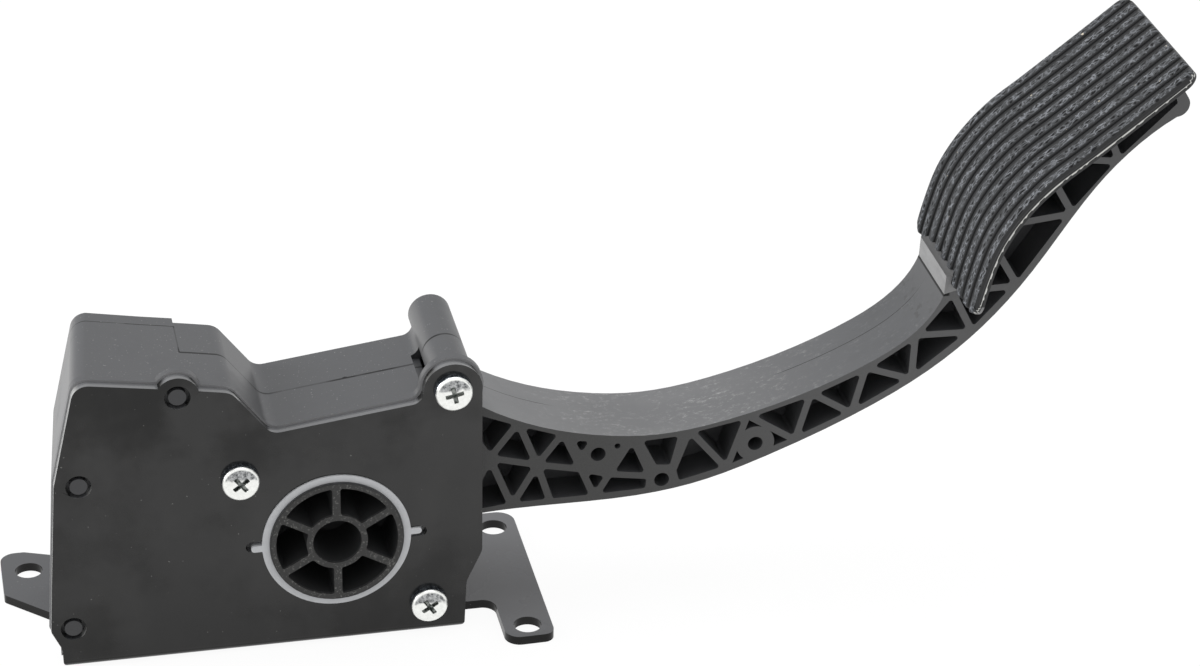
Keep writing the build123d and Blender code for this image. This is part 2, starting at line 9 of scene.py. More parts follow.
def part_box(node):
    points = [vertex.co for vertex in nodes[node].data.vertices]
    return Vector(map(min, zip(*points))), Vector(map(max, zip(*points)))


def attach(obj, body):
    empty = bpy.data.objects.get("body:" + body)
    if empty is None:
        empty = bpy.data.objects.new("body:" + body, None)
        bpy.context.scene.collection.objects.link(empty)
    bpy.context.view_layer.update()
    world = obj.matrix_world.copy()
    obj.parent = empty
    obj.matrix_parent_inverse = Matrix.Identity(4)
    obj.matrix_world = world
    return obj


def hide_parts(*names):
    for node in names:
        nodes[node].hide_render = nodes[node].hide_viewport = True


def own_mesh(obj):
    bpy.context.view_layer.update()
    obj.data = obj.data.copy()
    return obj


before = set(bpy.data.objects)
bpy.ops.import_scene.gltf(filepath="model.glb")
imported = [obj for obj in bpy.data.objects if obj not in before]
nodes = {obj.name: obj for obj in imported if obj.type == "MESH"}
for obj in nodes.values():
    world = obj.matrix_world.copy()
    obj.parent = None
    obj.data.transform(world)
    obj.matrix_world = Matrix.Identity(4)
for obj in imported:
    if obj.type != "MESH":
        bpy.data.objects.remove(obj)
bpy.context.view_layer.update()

# The view of the photograph: a long lens from the left of the flange, well above the floor.
# Place, turn and focal length were fitted to the bracket's outline, the hub and the pad.
scene = bpy.context.scene
pivot_height = 0.0385
flange_face_y = -0.0235
azimuth = math.radians(-12.66)
elevation = math.radians(28.65)
roll = math.radians(1.12)
distance = 1.0865
hub_to_right = 0.08274
hub_to_up = 0.06479
hub_point = Vector((0.0, flange_face_y, pivot_height))
back = Vector((
    math.sin(azimuth) * math.cos(elevation),
    -math.cos(azimuth) * math.cos(elevation),
    math.sin(elevation),
))
level = Vector((math.cos(azimuth), math.sin(azimuth), 0.0))
rise = back.cross(level)
right = level * math.cos(roll) + rise * math.sin(roll)
up = rise * math.cos(roll) - level * math.sin(roll)
eye = hub_point + right * hub_to_right + up * hub_to_up + back * distance
camera_data = bpy.data.cameras.new("camera")
camera_data.sensor_width = 36.0
camera_data.lens = 103.716
camera_data.clip_start = 0.01
camera = bpy.data.objects.new("camera", camera_data)
scene.collection.objects.link(camera)
camera.matrix_world = Matrix.Translation(eye) @ Matrix((right, up, back)).transposed().to_4x4()
scene.camera = camera
scene.view_settings.view_transform = "Standard"


# Studio: a pale floor under a soft white room, with a broad lamp above and one on the left.
# The room and the floor show as plain white behind the pedal and in its gloss.
class Wire:
    """A value in a material. Arithmetic on it adds Math nodes; node() adds any other node."""

    def __init__(self, tree, socket=None):
        self.tree = tree
        self.socket = socket

    def node(self, kind, settings, values, output=0):
        """Adds a node: its settings come first, then the values or wires of its sockets."""
        made = self.tree.nodes.new(kind)
        for key, value in settings.items():
            setattr(made, key, value)
        for key, value in values.items():
            if isinstance(value, Wire):
                self.tree.links.new(value.socket, made.inputs[key])
            else:
                made.inputs[key].default_value = value
        return Wire(self.tree, made.outputs[output]) if made.outputs else None

    def math(self, operation, first, second=0.0):
        return self.node("ShaderNodeMath", {"operation": operation}, {0: first, 1: second})

    def __add__(self, other):
        return self.math("ADD", self, other)

    def __radd__(self, other):
        return self.math("ADD", other, self)

    def __sub__(self, other):
        return self.math("SUBTRACT", self, other)

    def __rsub__(self, other):
        return self.math("SUBTRACT", other, self)

    def __mul__(self, other):
        return self.math("MULTIPLY", self, other)

    def __rmul__(self, other):
        return self.math("MULTIPLY", other, self)

    def __neg__(self):
        return self.math("MULTIPLY", self, -1.0)

    def __abs__(self):
        return self.math("ABSOLUTE", self)

    def root(self):
        return self.math("SQRT", self)

    def whole(self):
        return self.math("ROUND", self)

    def most(self, other):
        return self.math("MAXIMUM", self, other)

    def rise(self, low, high):
        """0 below low, 1 above high, with a smooth step between."""
        sockets = {"Value": self, "From Min": low, "From Max": high}
        return self.node("ShaderNodeMapRange", {"interpolation_type": "SMOOTHSTEP"}, sockets)

    def mix(self, first, second):
        """The first colour where this value is 0 and the second where it is 1."""
        sockets = {0: self, 6: opaque(first), 7: opaque(second)}
        return self.node("ShaderNodeMix", {"data_type": "RGBA"}, sockets, 2)

    def bump(self, strength, height):
        sockets = {"Height": self, "Strength": strength, "Distance": height}
        return self.node("ShaderNodeBump", {}, sockets)


def opaque(colour):
    """A colour's red, green and blue with a full alpha; a wire stays as it is."""
    return colour if isinstance(colour, Wire) else (*colour, 1.0)


def seen_directly(start):
    """1 for rays from the lens and for those off gloss or through glass."""
    path = {}
    for name in ("Is Camera Ray", "Is Glossy Ray", "Is Transmission Ray"):
        path[name] = start.node("ShaderNodeLightPath", {}, {}, name)
    return path["Is Camera Ray"].most(path["Is Glossy Ray"]).most(path["Is Transmission Ray"])


white = opaque((1.0, 1.0, 1.0))
room = bpy.data.worlds.new("room")
room.use_nodes = True
room.node_tree.nodes.clear()
room_wire = Wire(room.node_tree)
room_level = 0.62
white_show = seen_directly(room_wire) * (1.0 - room_level) + room_level
room_light = room_wire.node("ShaderNodeBackground", {}, {"Color": white, "Strength": white_show})
room_wire.node("ShaderNodeOutputWorld", {}, {"Surface": room_light})
scene.world = room

floor_reach = 3.0
floor_level = -0.0002
floor_mesh = bpy.data.meshes.new("floor")
corners = np.array([[-1, -1, 0], [1, -1, 0], [1, 1, 0], [-1, 1, 0]]) * floor_reach
corners[:, 2] = floor_level
floor_mesh.from_pydata(corners.tolist(), [], [(0, 1, 2, 3)])
floor = bpy.data.objects.new("floor", floor_mesh)
scene.collection.objects.link(floor)
floor_paint = bpy.data.materials.new("floor")
floor_paint.use_nodes = True
floor_paint.node_tree.nodes.clear()
wire = Wire(floor_paint.node_tree)
matt = wire.node("ShaderNodeBsdfDiffuse", {}, {"Color": opaque((0.86, 0.86, 0.86))})
glow = wire.node("ShaderNodeEmission", {}, {"Color": white, "Strength": 1.04})
mixed = wire.node("ShaderNodeMixShader", {}, {0: seen_directly(wire) * 0.9, 1: matt, 2: glow})
wire.node("ShaderNodeOutputMaterial", {}, {"Surface": mixed})
floor_mesh.materials.append(floor_paint)


def lamp(name, place, size, power):
    """A square soft lamp that points at the middle of the pedal."""
    data = bpy.data.lights.new(name, "AREA")
    data.size = size
    data.energy = power
    made = bpy.data.objects.new(name, data)
    scene.collection.objects.link(made)
    aim = Vector((0.08, 0.0, 0.06)) - Vector(place)
    made.location = place
    made.rotation_euler = aim.to_track_quat("-Z", "Y").to_euler()


lamp("top_lamp", (0.1, 0.3, 1.5), 1.4, 9.0)
lamp("left_lamp", (-1.4, 0.2, 0.6), 0.8, 16.0)


# Bracket: one bent steel sheet under a black gloss coat that hands have smudged.
# Its stamped edges are slightly rounded and catch a thin line of light, which on the top and left
# edges is a painted highlight.
def start_finish(name):
    """An empty material and the first wire in it."""
    made = bpy.data.materials.new(name)
    made.use_nodes = True
    made.node_tree.nodes.clear()
    return made, Wire(made.node_tree)


def end_finish(start, sockets):
    """Puts the main shader and the output at the end of a material."""
    shader = start.node("ShaderNodeBsdfPrincipled", {}, sockets)
    start.node("ShaderNodeOutputMaterial", {}, {"Surface": shader})


def position(start):
    return start.node("ShaderNodeTexCoord", {}, {}, "Object")


def parts_of(start, vector):
    return [start.node("ShaderNodeSeparateXYZ", {}, {"Vector": vector}, i) for i in range(3)]


def facing(start):
    """Parts of the surface's direction along the object's own axes."""
    return parts_of(start, start.node("ShaderNodeTexCoord", {}, {}, "Normal"))


def stretched(start, vector, scale):
    return start.node("ShaderNodeVectorMath", {"operation": "MULTIPLY"}, {0: vector, 1: scale})


def cloud(start, vector, scale, detail=2.0, roughness=0.5):
    """Noise from 0 to 1; one metre holds about as many clouds as the scale says."""
    sockets = {"Vector": vector, "Scale": scale, "Detail": detail, "Roughness": roughness}
    return start.node("ShaderNodeTexNoise", {}, sockets)


def dress(finish, *names):
    """Gives CAD nodes a finish."""
    for name in names:
        nodes[name].material_slots[0].material = finish


def ease_edges(piece, width, angle=32.0):
    """Rounds a piece's edges: its triangles are joined first, then its creases bevelled."""
    joined = piece.modifiers.new("join", "WELD")
    joined.merge_threshold = 1e-6
    edge = piece.modifiers.new("edge", "BEVEL")
    edge.width = width
    edge.segments = 2
    edge.limit_method = "ANGLE"
    edge.angle_limit = math.radians(angle)
    edge.use_clamp_overlap = True
    shade = piece.modifiers.new("shade", "WEIGHTED_NORMAL")
    shade.keep_sharp = False


sheet = 0.003
above_plate = 0.03
black = (0.001, 0.001, 0.001)
coat, wire = start_finish("bracket_coat")
spot = position(wire)
x, y, z = parts_of(wire, spot)
out_x, out_y, out_z = facing(wire)
flat = out_z.rise(0.7, 0.95)
# Painted shade: the bevel between the top and the front face is painted black and dull.
crease = out_z.rise(0.12, 0.3) * (-out_y).rise(0.12, 0.3)
# Painted highlight: the flange's upward edges above the plate are painted pale.
top_edge_highlight = flat * z.rise(above_plate, above_plate + 0.001)
# Painted highlight: the flange's left edge is painted pale.
left_edge_highlight = (-out_x).rise(0.4, 0.8) * z.rise(2 * sheet, 0.01) * (1.0 - x.rise(-0.075, -0.07))
smear = cloud(wire, spot, 26.0, 4.0, 0.6).rise(0.44, 0.66)
film = cloud(wire, stretched(wire, spot, (1.0, 1.0, 0.5)), 60.0, 3.0, 0.6).rise(0.4, 0.7)
haze = cloud(wire, stretched(wire, spot, (1.0, 1.0, 2.4)), 90.0, 4.0, 0.65).rise(0.5, 0.75)
speck = cloud(wire, spot, 900.0, 1.0).rise(0.765, 0.8)
peel = cloud(wire, spot, 700.0, 1.0)
coat_colour = (film * 0.6).mix((0.004, 0.0039, 0.0036), (0.0115, 0.0112, 0.0105))
# Painted light: flat tops are painted lighter as if lit from above, and the plate right of the
# flange lighter still, against the arm's shade.
plate_colour = x.rise(0.03, 0.04).mix((0.07, 0.072, 0.078), (0.135, 0.137, 0.145))
coat_colour = (flat * 0.9).mix(coat_colour, plate_colour)
coat_colour = top_edge_highlight.mix(coat_colour, (0.13, 0.132, 0.138))
coat_colour = (speck * 0.6).mix(coat_colour, (0.2, 0.2, 0.19))
coat_colour = crease.mix(coat_colour, black)
coat_colour = left_edge_highlight.mix(coat_colour, (0.34, 0.34, 0.335))
upper_part = z.rise(0.05, 0.09)
film_weight = z.rise(-0.002, 0.05) * 0.24 + x.rise(0.0, 0.05) * upper_part * 0.2 + 0.7
sheet_side = (1.0 - z.rise(sheet - 0.0003, sheet + 0.0001)) * (1.0 - flat)
smear_depth = (1.0 - flat) * (upper_part * 0.2 + 0.22)
end_finish(wire, {
    "Base Color": coat_colour,
    "Metallic": crease,
    "Specular IOR Level": 0.1,
    "Roughness": smear * 0.1 + haze * 0.09 + top_edge_highlight * 0.3 + 0.2,
    "Coat Weight": (film_weight - smear * smear_depth) * (1.0 - crease) * (1.0 - sheet_side * 0.55),
    "Coat Roughness": 0.12,
    "Normal": peel.bump(0.06, 0.0001),
})
dress(coat, "bracket")
ease_edges(nodes["bracket"], 0.0004)


# Housing: two mouldings and a sensor cup in black glass-filled plastic with a fine grain.
# The upper faces are a little dusty and painted lighter as if lit from above, and the seam between
# the halves is a thin groove.
def line_mask(offset, half, fade):
    """1 within half a width of a line, then a smooth step down to 0 at the fade."""
    return 1.0 - abs(offset).rise(half, fade)


def distance_from(x, z, place):
    """Distance from a line along Y through a place in X and Z."""
    out_x = x - place[0]
    out_z = z - place[1]
    return (out_x * out_x + out_z * out_z).root()


block_edge_x = -0.0445
block_seam_y = 0.018
middle_seam_y = 0.001
lip_face_y = -0.0205
peg_places = [(-0.0477, 0.0945), (-0.0791, 0.0662), (-0.0834, 0.015)]
pinhole_place = (0.007, 0.0015)
shell, wire = start_finish("housing_plastic")
spot = position(wire)
x, y, z = parts_of(wire, spot)
out_x, out_y, out_z = facing(wire)
grain = cloud(wire, spot, 2600.0, 2.0, 0.6)
blotch = cloud(wire, spot, 60.0, 3.0, 0.6).rise(0.45, 0.72)
dust = cloud(wire, spot, 1500.0, 1.0).rise(0.71, 0.76)
broken = cloud(wire, spot, 130.0, 2.0).rise(0.4, 0.55)
upward = out_z.rise(0.4, 0.9)
left_face_light = (-out_x).rise(0.5, 0.95)
past_block = x.rise(block_edge_x - 0.0001, block_edge_x + 0.0001)
block_seam = line_mask(y - block_seam_y, 0.00012, 0.0003) * (1.0 - past_block)
step_seam = line_mask(x - block_edge_x, 0.00012, 0.0003)
step_seam = step_seam * y.rise(0.0008, 0.001) * (1.0 - y.rise(0.0179, 0.0181))
middle_seam = line_mask(y - middle_seam_y, 0.00028, 0.0006) * past_block
middle_seam = middle_seam * (1.0 - x.rise(-0.022, -0.012) * (1.0 - x.rise(0.0, 0.004)) * 0.6)
seam = block_seam.most(step_seam) * (broken * 0.6 + 0.4) + middle_seam * (broken * 0.3 + 0.7)
hole_x = x - pinhole_place[0]
hole_y = y - pinhole_place[1]
pinhole = 1.0 - (hole_x * hole_x * 0.3 + hole_y * hole_y).rise(1.2e-7, 2.2e-7)
seam = seam.most(pinhole) * z.rise(0.07, 0.071) * out_z.rise(0.1, 0.3)
# Painted light: the lip's front face is painted pale to lift its shade, away from the peg holes.
lip_face_light = (-out_y).rise(0.5, 0.9) * line_mask(y - lip_face_y, 0.0002, 0.0004)
for place in peg_places:
    lip_face_light = lip_face_light * distance_from(x, z, place).rise(0.00447, 0.00469)
shell_colour = (blotch * 0.5).mix((0.034, 0.0345, 0.037), (0.046, 0.047, 0.05))
# Painted light: upper faces are painted lighter as if lit from above.
shell_colour = (upward * 0.5).mix(shell_colour, (0.078, 0.081, 0.088))
# Painted light: left faces are painted lighter as if lit by the left lamp.
shell_colour = (left_face_light * 0.5).mix(shell_colour, (0.17, 0.17, 0.172))
shell_colour = lip_face_light.mix(shell_colour, (0.25, 0.25, 0.256))
shell_colour = (dust * upward * 0.5).mix(shell_colour, (0.3, 0.3, 0.3))
shell_colour = (seam * 0.9).mix(shell_colour, (0.006, 0.006, 0.006))
end_finish(wire, {
    "Base Color": shell_colour,
    "Metallic": seam * 0.9,
    "Roughness": blotch * 0.08 + grain * 0.08 + 0.34,
    "Normal": (grain - seam * 3.0).bump(0.12, 0.00012),
})
dress(shell, "housing_body", "housing_cover", "sensor_cover")


def lean_wall(node):
    """A copy of a CAD half with its left wall drawn in towards the far face, as moulds need.

    The wall follows the steeper of two lines in X and Z. Its move grows evenly with depth
    and fades between two distances from those lines, short of the screw columns.
    """
    mesh = nodes[node].data.copy()
    mesh.name = node + "_leaning"
    work = bmesh.new()
    work.from_mesh(mesh)
    bmesh.ops.remove_doubles(work, verts=work.verts, dist=1e-6)
    work.to_mesh(mesh)
    work.free()
    points = np.empty(len(mesh.vertices) * 3, dtype=np.float32)
    mesh.vertices.foreach_get("co", points)
    points = points.reshape(-1, 3)
    x, y, z = points.T
    bend_x = -0.0866
    bend_z = 0.0672
    low_slope = 0.0721
    high_slope = 0.2305
    wall = bend_x + np.maximum((z - bend_z) * low_slope, (z - bend_z) * high_slope)
    lip_end = -0.0179
    far_face = 0.0235
    draft = 0.0038
    depth = np.clip((y - lip_end) / (far_face - lip_end), 0, 1)
    roof_corner = 0.0945
    fade_start = 0.0028
    fade_end = 0.0052 + 0.014 * np.clip((z - roof_corner) / 0.002, 0, 1)
    share = np.clip((fade_end - (x - wall)) / (fade_end - fade_start), 0, 1)
    points[:, 0] = x + draft * depth * share
    mesh.vertices.foreach_set("co", points.reshape(-1))
    mesh.update()
    piece = bpy.data.objects.new(node + "_leaning", mesh)
    scene.collection.objects.link(piece)
    mesh.materials[0] = shell
    ease_edges(piece, 0.0005)
    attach(piece, "frame")
    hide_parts(node)


lean_wall("housing_body")
lean_wall("housing_cover")
ease_edges(nodes["sensor_cover"], 0.0004)


# Arm: one long moulding in glass-filled plastic, open in a truss on both sides.
# Its upper face is painted lighter as if lit from above, most near the hub, and is scuffed pale by
# shoes; the mould's split runs along it.
arm_half = 0.014
split_y = 0.0025
hub_front_y = -0.0251
journal_radius = 0.0212
hub_rim = 0.0009
arm, wire = start_finish("arm_plastic")
spot = position(wire)
x, y, z = parts_of(wire, spot)
out_x, out_y, out_z = facing(wire)
# Height of the upper face, a cubic in the distance along the arm
along = x - 0.1
crown = ((along * 3.229 + 4.367) * along - 0.06657) * along + 0.06054
upward = out_z.rise(0.35, 0.8) * (z - crown).rise(-0.0045, -0.0035)
front = abs(out_y).rise(0.6, 0.95) * abs(y).rise(arm_half - 0.0007, arm_half - 0.0003)
grain = cloud(wire, spot, 1800.0, 2.0, 0.6)
worn = cloud(wire, stretched(wire, spot, (0.7, 1.0, 1.0)), 120.0, 4.0, 0.7).rise(0.38, 0.58)
rubbed = cloud(wire, stretched(wire, spot, (0.5, 1.0, 1.0)), 45.0, 3.0, 0.6).rise(0.35, 0.65)
fleck = cloud(wire, stretched(wire, spot, (0.6, 1.0, 1.0)), 640.0, 6.0, 0.8).rise(0.5, 0.74)
pocket_colour = grain.mix((0.054, 0.055, 0.058), (0.072, 0.073, 0.077))
front_colour = x.rise(0.07, 0.2).mix((0.025, 0.025, 0.0245), (0.082, 0.0825, 0.084))
front_colour = (grain * 0.25).mix(front_colour, (0.12, 0.12, 0.118))
# Painted light: the upper face is painted lighter as if lit from above, fading out towards the pad;
# rubbed patches darken it.
top_light_share = 1.0 - x.rise(0.1, 0.19)
lit_rubbed_top_colour = top_light_share.mix((0.055, 0.057, 0.061), (0.175, 0.177, 0.182))
lit_rubbed_top_colour = (rubbed * 0.3).mix(lit_rubbed_top_colour, (0.1, 0.103, 0.11))
arm_colour = front.mix(pocket_colour, front_colour)
arm_colour = (upward * 0.85).mix(arm_colour, lit_rubbed_top_colour)
low_stretch = x.rise(0.06, 0.085) * (1.0 - x.rise(0.125, 0.17))
scuff = upward * worn * fleck * (low_stretch * 0.75 + 0.25)
arm_colour = scuff.mix(arm_colour, (0.38, 0.38, 0.375))
below_heel = x.rise(0.188, 0.193) * (1.0 - x.rise(0.1975, 0.199)) * upward
smudge = cloud(wire, spot, 320.0, 2.0).rise(0.56, 0.64) * below_heel
arm_colour = (smudge * 0.8).mix(arm_colour, (0.03, 0.03, 0.03))
split_ends = (1.0 - x.rise(0.068, 0.076)).most(x.rise(0.146, 0.152))
split = line_mask(y - split_y, 0.00008, 0.0002) * split_ends
arm_colour = (upward * split * 0.85).mix(arm_colour, (0.01, 0.01, 0.01))
# Painted shade: a dark, partly metallic band on the arm just under the carrier's heel, for the gap
# between them.
heel_gap_shade = z.rise(0.101, 0.1014) * (1.0 - z.rise(0.1026, 0.1028))
heel_gap_shade = heel_gap_shade * x.rise(0.194, 0.195) * (1.0 - x.rise(0.1992, 0.2))
arm_colour = (heel_gap_shade * 0.9).mix(arm_colour, (0.006, 0.006, 0.006))
hub = distance_from(x, z, (0.0, pivot_height))
behind_face = y.rise(hub_front_y + 0.0002, hub_front_y + 0.0006)
hub_face = (1.0 - behind_face) * (1.0 - hub.rise(journal_radius, journal_radius + 0.0003))
# Painted shade: inside the hub's radius the pockets behind its face are painted darker, partly
# metallic and rougher.
in_pockets = y.rise(hub_front_y + 0.0002, hub_front_y + 0.0013) * (1.0 - y.rise(-0.006, -0.003))
hub_pocket_shade = in_pockets * (1.0 - hub.rise(journal_radius - hub_rim, journal_radius - 0.0006))
# Painted shade: a black line round the rim of the hub's face, for the gap to the bearing ring.
rim_gap_shade = hub.rise(journal_radius - 0.0005, journal_radius - 0.0003)
hub_fleck = cloud(wire, spot, 1500.0, 2.0, 0.7).rise(0.58, 0.66)
arm_colour = (hub_face * 0.97).mix(arm_colour, (0.012, 0.0117, 0.011))
arm_colour = (hub_face * hub_fleck * 0.7).mix(arm_colour, (0.17, 0.17, 0.16))
arm_colour = (hub_face * rim_gap_shade).mix(arm_colour, black)
arm_colour = (hub_pocket_shade * 0.94).mix(arm_colour, (0.03, 0.031, 0.032))
end_finish(wire, {
    "Base Color": arm_colour,
    "Metallic": (hub_pocket_shade * 0.5).most(heel_gap_shade).most(upward * split) * 0.9,
    "Roughness": scuff * 0.2 + grain * 0.06 + hub_pocket_shade * 0.4 + 0.36,
    "Normal": (grain + scuff - split + hub_face * hub_fleck).bump(0.14, 0.00015),
})
dress(arm, "pedal_arm")
ease_edges(nodes["pedal_arm"], 0.00035)


# Bearing rings, spring seats and shoe: light grey low-friction plastic, moulded smooth.
# The near ring shows between the flange and the hub, with a key on each side.
bearing, wire = start_finish("bearing_plastic")
cloudy = cloud(wire, position(wire), 220.0, 3.0, 0.6)
end_finish(wire, {
    "Base Color": cloudy.mix((0.5, 0.51, 0.525), (0.6, 0.61, 0.625)),
    "Roughness": cloudy * 0.1 + 0.35,
    "Normal": cloudy.bump(0.05, 0.0001),
})
dress(bearing, "near_bearing_ring", "far_bearing_ring", "spring_seat", "spring_cap", "friction_shoe")
ease_edges(nodes["near_bearing_ring"], 0.0004)


# Friction lining: a strip of brown fibre-filled plastic in an arched track of the housing.
# The shoe on the lever's end rubs along it, which gives the pedal its feel.
lining, wire = start_finish("friction_lining")
fibre = cloud(wire, stretched(wire, position(wire), (1.0, 5.0, 1.0)), 500.0, 3.0, 0.7)
end_finish(wire, {
    "Base Color": fibre.mix((0.1, 0.07, 0.04), (0.2, 0.15, 0.09)),
    "Roughness": fibre * 0.2 + 0.6,
    "Normal": fibre.bump(0.3, 0.0002),
})
dress(lining, "friction_lining")


# Pad carrier: a thin dark plastic plate that is pressed onto the arm's studded seat.
# A band at its heel closes the step between the arm and the tread; it is painted pale, a painted
# highlight for the light it faces.
carrier, wire = start_finish("carrier_plastic")
spot = position(wire)
x, y, z = parts_of(wire, spot)
grain = cloud(wire, spot, 1600.0, 2.0, 0.6)
rubbed = cloud(wire, stretched(wire, spot, (1.0, 0.3, 1.0)), 420.0, 3.0, 0.7)
heel = (1.0 - z.rise(0.1082, 0.1087)) * (1.0 - x.rise(0.2036, 0.204))
plate_colour = grain.mix((0.014, 0.014, 0.0145), (0.024, 0.024, 0.0245))
# Painted highlight: the heel band is painted pale, with rubbed streaks.
heel_highlight_colour = rubbed.mix((0.17, 0.17, 0.172), (0.3, 0.3, 0.302))
end_finish(wire, {
    "Base Color": heel.mix(plate_colour, heel_highlight_colour),
    "Roughness": grain * 0.1 + 0.42,
    "Normal": grain.bump(0.12, 0.00012),
})
dress(carrier, "pad_carrier")
ease_edges(nodes["pad_carrier"], 0.0003)


# Tread: a moulded rubber mat over the carrier, with ten ridges from heel to tip.
# Soles have rubbed the ridges to a speckled grey, while the grooves stay dark.
def grid_piece(name, grid, finish, closed, crease=38.0, marks=None):
    """A piece from a grid of points, rows by columns; closed joins the last column to the first.

    Marks are three values a point, such as distances over the surface, for its finish.
    """
    rows, columns = grid.shape[:2]
    row = np.arange(rows - 1)[:, None]
    column = np.arange(columns if closed else columns - 1)[None, :]
    after = (column + 1) % columns
    faces = np.stack(
        np.broadcast_arrays(
            row * columns + column,
            row * columns + after,
            (row + 1) * columns + after,
            (row + 1) * columns + column,
        ),
        axis=-1,
    ).reshape(-1, 4)
    mesh = bpy.data.meshes.new(name)
    mesh.from_pydata(grid.reshape(-1, 3).tolist(), [], faces.tolist())
    mesh.materials.append(finish)
    if marks is not None:
        layer = mesh.attributes.new("marks", "FLOAT_VECTOR", "POINT")
        layer.data.foreach_set("vector", marks.reshape(-1).astype(np.float32))
    work = bmesh.new()
    work.from_mesh(mesh)
    bmesh.ops.remove_doubles(work, verts=work.verts, dist=2e-6)
    bmesh.ops.dissolve_degenerate(work, dist=1e-7, edges=work.edges)
    bmesh.ops.recalc_face_normals(work, faces=work.faces)
    work.to_mesh(mesh)
    work.free()
    mesh.shade_smooth()
    mesh.set_sharp_from_angle(angle=math.radians(crease))
    piece = bpy.data.objects.new(name, mesh)
    scene.collection.objects.link(piece)
    return piece


def read_marks(start):
    """The three values that a grid piece carries at each point."""
    return start.node("ShaderNodeAttribute", {"attribute_name": "marks"}, {}, "Vector")


def smooth_curve(points, shares):
    """A smooth curve through points: cubic pieces whose slopes follow from the neighbours."""
    points = np.array(points)
    chord = np.linalg.norm(np.diff(points, axis=0), axis=1)
    length = np.concatenate([[0.0], np.cumsum(chord)])
    slope = np.gradient(points, length, axis=0, edge_order=2)
    at = np.asarray(shares) * length[-1]
    index = np.clip(np.searchsorted(length, at, side="right") - 1, 0, len(chord) - 1)
    step = chord[index][:, None]
    t = (at - length[index])[:, None] / step
    return (
        (2 * t**3 - 3 * t**2 + 1) * points[index]
        + (t**3 - 2 * t**2 + t) * step * slope[index]
        + (3 * t**2 - 2 * t**3) * points[index + 1]
        + (t**3 - t**2) * step * slope[index + 1]
    )


# The arm's seat in X and in height above the pivot, from heel to tip
seat_points = [
    (0.2028, 0.0656), (0.2052, 0.0769), (0.2091, 0.0890), (0.2151, 0.0991),
    (0.2233, 0.1082), (0.2341, 0.1166), (0.2500, 0.1290), (0.2676, 0.1431),
]
pad_near = -0.0365
pad_width = 0.0632
mat_low = 0.0009
mat_top = 0.0021
mat_corner = 0.005
mat_edge = 0.0007
ridge_height = 0.0011
ridge_count = 10
ridge_width = 0.0038
ridge_flank = 0.0008
ridge_margin = 0.0005
ridge_clear = 0.0003
ridge_end = 0.0009
ridge_pitch = (pad_width - 2 * ridge_margin - ridge_width) / (ridge_count - 1)
first_ridge = ridge_margin + ridge_width / 2
under_mark = -0.001


def mat_inset(along, across, length):
    """Distance in from the mat's edge, a rectangle with rounded corners."""
    out_x = abs(along - length / 2) - (length / 2 - mat_corner)
    out_y = abs(across - pad_width / 2) - (pad_width / 2 - mat_corner)
    outside = np.hypot(np.maximum(out_x, 0), np.maximum(out_y, 0))
    return mat_corner - outside - np.minimum(np.maximum(out_x, out_y), 0)


def quarter_round(share):
    """Height of a quarter circle at a share of its radius in from its foot, 0 to 1."""
    return np.sqrt(1 - (1 - np.clip(share, 0, 1)) ** 2)


def mat_height(across, inset):
    """Height above the seat at a distance across the mat and in from its edge.

    The edge is a quarter round. Ridges are flat-topped waves across, faded out before both ends.
    """
    index = np.clip(np.round((across - first_ridge) / ridge_pitch), 0, ridge_count - 1)
    from_middle = abs(across - first_ridge - index * ridge_pitch)
    base = (mat_top - mat_low) * quarter_round(inset / mat_edge)
    flank = quarter_round((ridge_width / 2 - from_middle) / ridge_flank)
    return mat_low + base + ridge_height * flank * quarter_round((inset - ridge_clear) / ridge_end)


